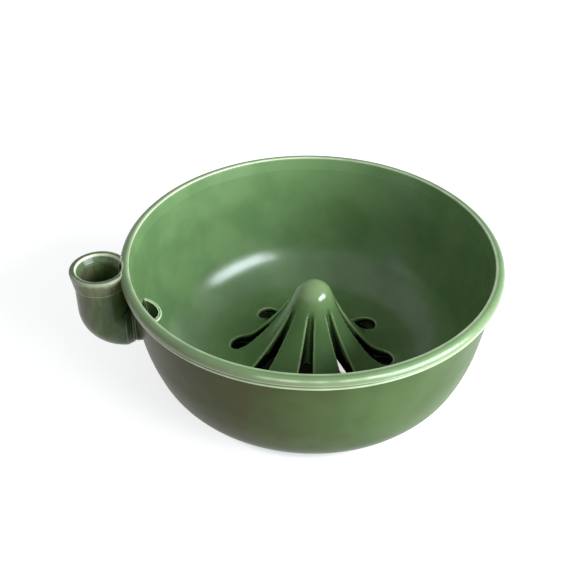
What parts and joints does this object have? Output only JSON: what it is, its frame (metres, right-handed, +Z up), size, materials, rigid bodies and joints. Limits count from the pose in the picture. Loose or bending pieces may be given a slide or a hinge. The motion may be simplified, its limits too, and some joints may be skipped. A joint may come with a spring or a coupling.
{
  "type": "colander bowl",
  "caption": "Round glazed stoneware berry bowl with a slotted drainer cone in its floor and an elbow pipe luted to its side.",
  "frame": {"origin": "on the bowl's axis, on the plane that the foot ring stands on", "axes": "+Z up out of the bowl, -X out through the elbow pipe, +Y across to the right when looking at the bowl from the pipe's side"},
  "size_m": [0.2028, 0.18, 0.077],
  "materials": {
    "green_glaze": "gloss green glaze over stoneware",
    "pale_glaze": "gloss green glaze, thin and pale over the edges",
    "deep_glaze": "gloss green glaze, pooled and darker"
  },
  "bodies": {
    "root": {"bowl_wall": "green_glaze", "rim_bead": "pale_glaze", "foot_ring": "deep_glaze", "drainer_cone": "green_glaze", "elbow_pipe": "green_glaze", "mouth_collar": "pale_glaze", "wall_collar": "deep_glaze", "port_scoop": "pale_glaze"}
  },
  "joints": []
}
